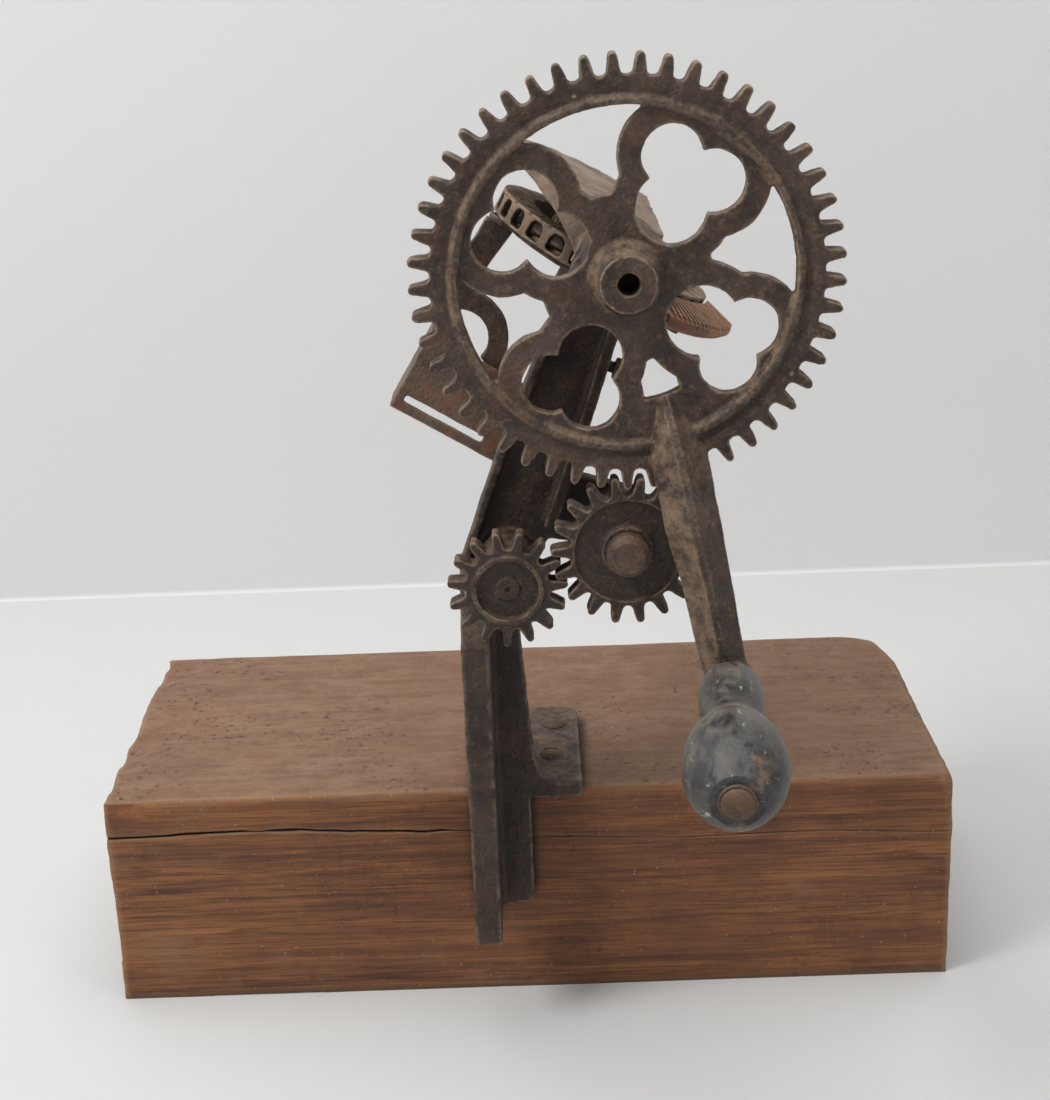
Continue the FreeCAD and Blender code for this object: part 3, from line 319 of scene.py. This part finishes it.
LOOKS = {
    "cast_iron": rusty_iron("rusty_casting", srgb(40, 29, 23), srgb(72, 56, 46), srgb(106, 64, 40),
                            srgb(142, 116, 90), dust_amount=0.5, rust_amount=0.4, wear=0.6),
    "gear_iron": rusty_iron("gear_casting", srgb(42, 31, 26), srgb(78, 62, 53), srgb(104, 66, 43),
                            srgb(156, 131, 104), dust_amount=0.65, rust_amount=0.3, wear=0.95,
                            left_dust_and_highlight=0.9),
    # Darker copies of the iron looks for the idler, the pinion and the pinion's shaft.
    "darker_iron": rusty_iron("darker_casting", srgb(34, 24, 20), srgb(58, 44, 37), srgb(84, 52, 36),
                            srgb(150, 122, 90), dust_amount=0.45, rust_amount=0.3, wear=0.95),
    "darker_shaft": rusty_iron("darker_shaft", srgb(36, 26, 22), srgb(62, 46, 39), srgb(84, 48, 38),
                             srgb(120, 98, 76), soft=False, dust_amount=0.3, rust_amount=0.3,
                             wear=0.4),
    # Painted shade: a darker copy of the cast iron, with deeper recess darkening, for the frame's
    # web in the big wheel's shadow.
    "shaded_frame": rusty_iron("shaded_casting", srgb(34, 25, 21), srgb(64, 49, 41), srgb(92, 56, 37),
                             srgb(138, 112, 86), dust_amount=0.5, rust_amount=0.3, wear=0.65,
                             shade=0.62),
    "rust_sheet": rusty_iron("rusty_sheet", srgb(66, 50, 42), srgb(108, 88, 75), srgb(140, 84, 52),
                             srgb(144, 123, 104), dust_amount=0.5, rust_amount=0.5, wear=0.6),
    "steel": rusty_iron("dull_steel", srgb(56, 42, 34), srgb(106, 83, 66), srgb(118, 75, 47),
                        srgb(150, 125, 100), soft=False, dust_amount=0.3, rust_amount=0.4,
                        wear=0.6),
    "fastener": rusty_iron("rusty_fastener", srgb(52, 38, 31), srgb(88, 68, 55), srgb(116, 70, 42),
                           srgb(140, 116, 92), soft=False, dust_amount=0.5, rust_amount=0.5,
                           wear=0.6),
    "bush": rusty_iron("oiled_bronze", srgb(70, 52, 34), srgb(116, 88, 54), srgb(96, 66, 40),
                       srgb(140, 116, 88), soft=False, dust_amount=0.2, rust_amount=0.2, wear=0.5),
    "comb": rusty_iron("orange_rust", srgb(90, 60, 44), srgb(152, 108, 80), srgb(150, 92, 60),
                       srgb(182, 146, 114), dust_amount=0.6, rust_amount=0.5, wear=0.7, shade=0.25),
    "ring": rusty_iron("dusty_ring", srgb(70, 55, 44), srgb(122, 99, 79), srgb(124, 82, 54),
                       srgb(166, 142, 116), dust_amount=0.6, rust_amount=0.4, wear=0.7, shade=0.85),
    "hood": rusty_iron("worn_cover", srgb(88, 70, 57), srgb(136, 115, 97), srgb(128, 90, 63),
                       srgb(160, 139, 119), dust_amount=0.5, rust_amount=0.45, wear=0.55,
                       shade=0.2),
    "handle": painted_wood(),
    "timber": old_timber(),
}
# Darker copies of the iron looks: painted shade on the frame, and only darker on the idler, the
# pinion and the pinion's shaft.
DARKER = {"idler_gear": "darker_iron", "pinion_gear": "darker_iron", "pinion_shaft": "darker_shaft",
          "main_frame": "shaded_frame"}


def dress(obj, look):
    obj.data.materials.clear()
    obj.data.materials.append(LOOKS[look])


for part in frame["record"]["subparts"]:
    dress(nodes[part["node"]], DARKER.get(part["node"], part["material_slot"]))


# ---------------------------------------------------------------- cast surfaces
def lumps(name, size, depth):
    texture = bpy.data.textures.new(name, "CLOUDS")
    texture.noise_scale = size
    texture.noise_depth = depth
    return texture


SWELL = lumps("casting_swell", 9 * MM, 2)
SAND = lumps("sand_texture", 1.8 * MM, 3)
CASTINGS = {
    # node: voxel in mm, smoothing passes, swell in mm, sand texture in mm
    "crank_gear": (0.6, 4, 0.8, 0.3),
    "main_frame": (0.8, 4, 0.8, 0.3),
    "idler_gear": (0.45, 6, 0.6, 0.28),
    "pinion_gear": (0.45, 6, 0.6, 0.28),
    "curved_arm": (0.5, 6, 0.5, 0.2),
    "ring_bracket": (0.9, 3, 0.5, 0.2),
    "winder_spool": (0.6, 3, 0.2, 0.1),
    "needle_ring": (0.5, 4, 0.25, 0.15),
    "ring_bed": (0.6, 3, 0.2, 0.1),
    "comb_segment": (0.35, 2, 0.2, 0.15),
    "hood": (0.6, 12, 1.2, 0.2),
    "tray": (0.6, 3, 0.5, 0.12),
}


def soften(node, voxel, passes, swell, sand):
    """Rounds a casting's edges and gives its skin the lumps of sand casting."""
    obj = nodes[node]
    remesh = obj.modifiers.new("skin", "REMESH")
    remesh.mode = "VOXEL"
    remesh.voxel_size = voxel * MM
    remesh.use_smooth_shade = True
    smooth = obj.modifiers.new("round", "SMOOTH")
    smooth.factor = 0.5
    smooth.iterations = passes
    for name, texture, strength in (("swell", SWELL, swell), ("sand", SAND, sand)):
        displace = obj.modifiers.new(name, "DISPLACE")
        displace.texture = texture
        displace.texture_coords = "LOCAL"
        displace.mid_level = 0.55
        displace.strength = strength * MM


for node, settings in CASTINGS.items():
    soften(node, *settings)


# ---------------------------------------------------------------- timber block
CELL_X, CELL_Y, CELL_Z = 1.9 * MM, 2.0 * MM, 2.0 * MM       # mesh cells of the block
END_X, REAR_Y, TOP_Z = 0.2, 0.086, 0.107        # the block's right end, rear face and top
CRACK_Z, SEAM_Z = 0.0888, 0.0780        # mean heights of the long crack and of the faint one
CRACK_BAND, SEAM_BAND = (0.0850, 0.0925), (0.0755, 0.0802)      # where finer mesh rows take over
CRACK_ROWS = (-3.0, -1.6, -0.8, -0.35, 0.0, 0.35, 0.8, 1.6, 3.0)        # mm from CRACK_Z
SEAM_ROWS = (-1.6, -0.7, -0.25, 0.0, 0.25, 0.7, 1.6)        # mm from SEAM_Z


def spread(low, high, step):
    """Even places from low to high, about one step apart."""
    count = max(1, round((high - low) / step))
    return [low + (high - low) * k / count for k in range(count + 1)]


def ease(value, low, high):
    """0 below low, 1 above high, and a smooth rise between them."""
    t = max(0.0, min(1.0, (value - low) / (high - low)))
    return t * t * (3 - 2 * t)


def crack_height(x):
    """Height of the long drying crack in the front face, in metres."""
    wave = 0.0012 * math.sin(x * 38) + 0.0006 * noise.noise(Vector((x * 90, 3.1, 0)))
    return CRACK_Z - 0.010 * (x + END_X) + wave


def seam_height(x):
    """Height of the faint second crack, further right."""
    return 0.0805 - 0.013 * x + 0.0008 * math.sin(x * 51 + 1)


def mesh_rows(low, high):
    """Heights of the mesh rows, closer together round the two cracks."""
    rows = [z for z in spread(low, high, CELL_Z)
            if not CRACK_BAND[0] < z < CRACK_BAND[1] and not SEAM_BAND[0] < z < SEAM_BAND[1]]
    rows += [CRACK_Z + d * MM for d in CRACK_ROWS] + [SEAM_Z + d * MM for d in SEAM_ROWS]
    return sorted(rows)


def build_timber():
    """The block as a closed skin of small cells, each point moved by shape_point."""
    low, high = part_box("timber_block")
    xs = spread(low.x, high.x, CELL_X)
    ys = spread(low.y, high.y, CELL_Y)
    zs = mesh_rows(low.z, high.z)
    right, back, top = len(xs) - 1, len(ys) - 1, len(zs) - 1
    index, points, faces = {}, [], []

    def vertex(i, j, k):
        if (i, j, k) not in index:
            index[i, j, k] = len(points)
            points.append(shape_point(xs[i], ys[j], zs[k], low, high))
        return index[i, j, k]

    def face(*corners):
        faces.append([vertex(*corner) for corner in corners])

    for i in range(right):
        for j in range(back):
            face((i, j, 0), (i, j + 1, 0), (i + 1, j + 1, 0), (i + 1, j, 0))
            face((i, j, top), (i + 1, j, top), (i + 1, j + 1, top), (i, j + 1, top))
        for k in range(top):
            face((i, 0, k), (i + 1, 0, k), (i + 1, 0, k + 1), (i, 0, k + 1))
            face((i, back, k), (i, back, k + 1), (i + 1, back, k + 1), (i + 1, back, k))
    for j in range(back):
        for k in range(top):
            face((0, j, k), (0, j, k + 1), (0, j + 1, k + 1), (0, j + 1, k))
            face((right, j, k), (right, j + 1, k), (right, j + 1, k + 1), (right, j, k + 1))
    mesh = bpy.data.meshes.new("timber")
    mesh.from_pydata(points, [], faces)
    mesh.shade_smooth()
    obj = bpy.data.objects.new("weathered_timber", mesh)
    scene.collection.objects.link(obj)
    return obj


def on_crack_lines(x, z, share):
    """Height of a mesh row near a crack, drawn onto the crack's line by a share of the way."""
    near = math.exp(-((z - CRACK_Z) / 0.006) ** 2)
    z += share * near * (crack_height(x) - CRACK_Z)
    near = math.exp(-((z - SEAM_Z) / 0.004) ** 2)
    return z + share * near * (seam_height(x) - SEAM_Z) * ease(x, -0.02, 0.02)


def edge_radius(x, y, z):
    """Wear of the block's edges: round at the right end's rear and top, sharp at the foot."""
    wander = noise.fractal(Vector((x * 26, y * 26, z * 26)), 0.8, 2.0, 3)
    radius = (2.9 + 1.2 * wander) * MM
    radius += 10 * MM * ease(x, 0.17, END_X) * ease(y, 0.05, REAR_Y)
    radius += 4 * MM * ease(x, 0.18, END_X) * ease(z, 0.08, TOP_Z)
    radius = max(1.2 * MM, radius)
    if z < 0.02:
        radius = max(0.9 * MM, radius * 0.4)
    return radius


def crack_depth(x, z):
    """Depth of the long crack and of the faint one at a place on the front face."""
    gap = abs(z - crack_height(x))
    reach = 1 - ease(x, -0.045, -0.02)
    width = (0.55 + 0.5 * noise.noise(Vector((x * 60, 7.7, 0)))) * MM * (0.4 + reach)
    depth = 2.6 * MM * reach * max(0.0, 1 - gap / max(width, 0.3 * MM))
    gap = abs(z - seam_height(x))
    faint = ease(x, -0.01, 0.02) * (0.5 + 0.5 * noise.noise(Vector((x * 25, 1.3, 0))))
    return depth + 1.1 * MM * faint * max(0.0, 1 - gap / (0.4 * MM))


def wear_depth(x, y, z, out):
    """How far a point lies below the sawn face: grain, cracks, torn end grain, a chipped corner."""
    grain = noise.fractal(Vector((x * 12, y * 300, z * 300)), 0.9, 2.0, 3)
    sunk = 0.16 * MM * (grain + 1.0)
    sunk += 0.25 * MM * (1 + noise.noise(Vector((x * 14, y * 40, z * 40))))
    sunk += max(0.0, -out.y) ** 4 * crack_depth(x, z)
    torn = noise.fractal(Vector((x * 20, y * 60, z * 55)), 0.8, 2.1, 5)
    sunk += max(0.0, -out.x) ** 2 * (1.2 + 1.1 * torn) * MM
    rough = 1 + noise.noise(Vector((3.0, y * 160, z * 90)))
    sunk += max(0.0, out.x) ** 2 * 0.5 * MM * rough
    chip = ease(-x, 0.165, END_X) * ease(z, 0.085, TOP_Z)
    bite = noise.noise(Vector((x * 45, y * 42, z * 30)) + Vector((5, 2, 1)))
    sunk += chip * max(0.0, bite + 0.15) * 6.5 * MM
    return max(0.0, sunk)


def shape_point(x, y, z, low, high):
    """A point of the sawn block moved to its worn, cracked and splintered place."""
    front = ease(-y, -low.y - 9 * MM, -low.y - 2 * MM)
    if front > 0:
        z = on_crack_lines(x, z, front)
    radius = edge_radius(x, y, z)
    core = Vector((max(low.x + radius, min(high.x - radius, x)),
                   max(low.y + radius, min(high.y - radius, y)),
                   max(low.z + radius, min(high.z - radius, z))))
    out = Vector((x, y, z)) - core
    if out.length < 1e-9:
        return Vector((x, y, z))
    out.normalize()
    place = core + out * radius
    place -= out * wear_depth(x, y, z, out)
    place.z = max(low.z, place.z) if z > low.z else low.z
    return place


timber = build_timber()
dress(timber, "timber")
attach(timber, "stand")
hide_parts("timber_block")


# ---------------------------------------------------------------- studio
FLOOR_GREY, WALL_GREY, STAGE_ROUGH = (0.67, 0.67, 0.66, 1.0), (0.77, 0.77, 0.77, 1.0), 0.9
WALL_Y, WALL_TOP, COVE_RADIUS = 0.47, 2.2, 0.003
STAGE_X, FLOOR_FRONT, FLOOR_REAR = 3.0, -2.5, 3.0       # half width and the floor's two ends
LEVEL = 0.999       # a face whose normal rises this much is floor, any other is wall
LIGHTS = (
    # name, place, target, diameter in metres, watts
    ("key", (-1.3, -0.9, 1.8), (0, 0, 0.2), 0.8, 26),
    ("overhead", (0.0, 0.0, 2.1), (0, 0, 0.1), 1.8, 21),
    ("fill", (1.5, -1.3, 1.0), (0, 0, 0.2), 1.4, 5),
)
WORLD_STRENGTH = 0.28
# The camera, fitted to the photo by the block's corners and the gears' circles.
CAMERA_PLACE = (0.01192, -0.8268, 0.48864)
CAMERA_TURN, CAMERA_TIP, CAMERA_ROLL = 0.6347, 19.6167, -2.2695     # degrees
CAMERA_LENS, CAMERA_SENSOR = 58.16, 36.0        # mm


def plain(name, colour):
    g = Graph(name)
    g.shader.inputs["Base Color"].default_value = colour
    g.shader.inputs["Roughness"].default_value = STAGE_ROUGH
    return g.material


def one_sided(material):
    """Makes a wall clear from behind. Known fault: it goes by the view."""
    tree = material.node_tree
    shader, out = tree.nodes["Principled BSDF"], tree.nodes["Material Output"]
    clear = tree.nodes.new("ShaderNodeBsdfTransparent")
    side = tree.nodes.new("ShaderNodeNewGeometry")
    both = tree.nodes.new("ShaderNodeMixShader")
    tree.links.new(side.outputs["Backfacing"], both.inputs[0])
    tree.links.new(shader.outputs[0], both.inputs[1])
    tree.links.new(clear.outputs[0], both.inputs[2])
    tree.links.new(both.outputs[0], out.inputs[0])
    return material


def backdrop():
    """Pale floor, a wall that rises from it behind the machine, and more floor behind the wall."""
    bend = [math.radians(d) for d in range(10, 91, 10)]
    foot = WALL_Y - COVE_RADIUS
    outline = [(FLOOR_FRONT, 0.0), (foot, 0.0)]
    outline += [(foot + COVE_RADIUS * math.sin(a), COVE_RADIUS - COVE_RADIUS * math.cos(a))
                for a in bend]
    outline.append((WALL_Y, WALL_TOP))
    points = [(x, y, z) for y, z in outline for x in (-STAGE_X, STAGE_X)]
    faces = [(2 * k, 2 * k + 1, 2 * k + 3, 2 * k + 2) for k in range(len(outline) - 1)]
    faces.append(tuple(range(len(points), len(points) + 4)))
    points += [(-STAGE_X, foot, 0.0), (STAGE_X, foot, 0.0),
               (STAGE_X, FLOOR_REAR, 0.0), (-STAGE_X, FLOOR_REAR, 0.0)]
    mesh = bpy.data.meshes.new("backdrop")
    mesh.from_pydata(points, [], faces)
    mesh.shade_smooth()
    mesh.materials.append(plain("pale_floor", FLOOR_GREY))
    mesh.materials.append(one_sided(plain("pale_wall", WALL_GREY)))
    for face in mesh.polygons:
        face.material_index = 0 if face.normal.z > LEVEL else 1
    obj = bpy.data.objects.new("backdrop", mesh)
    scene.collection.objects.link(obj)


def softbox(name, place, target, size, watts):
    light = bpy.data.lights.new(name, "AREA")
    light.shape = "DISK"
    light.size = size
    light.energy = watts
    obj = bpy.data.objects.new(name, light)
    obj.location = place
    obj.rotation_mode = "QUATERNION"
    obj.rotation_quaternion = (Vector(target) - Vector(place)).to_track_quat("-Z", "Y")
    scene.collection.objects.link(obj)


def set_world():
    scene.world = bpy.data.worlds.new("studio")
    scene.world.use_nodes = True
    background = scene.world.node_tree.nodes["Background"]
    background.inputs["Color"].default_value = (1.0, 1.0, 1.0, 1.0)
    background.inputs["Strength"].default_value = WORLD_STRENGTH


def set_camera():
    turn, tip, roll = (math.radians(d) for d in (CAMERA_TURN, CAMERA_TIP, CAMERA_ROLL))
    back = Vector((math.sin(turn) * math.cos(tip), -math.cos(turn) * math.cos(tip), math.sin(tip)))
    right = (-back).cross(Vector((0, 0, 1))).normalized()
    up = right.cross(-back)
    side = right * math.cos(roll) + up * math.sin(roll)
    top = up * math.cos(roll) - right * math.sin(roll)
    camera = bpy.data.objects.new("camera", bpy.data.cameras.new("camera"))
    camera.data.lens = CAMERA_LENS
    camera.data.sensor_width = CAMERA_SENSOR
    camera.matrix_world = Matrix.Translation(CAMERA_PLACE) @ Matrix(
        (side, top, back)).transposed().to_4x4()
    scene.collection.objects.link(camera)
    scene.camera = camera


backdrop()
for light in LIGHTS:
    softbox(*light)
set_world()
scene.view_settings.view_transform = "Standard"
set_camera()
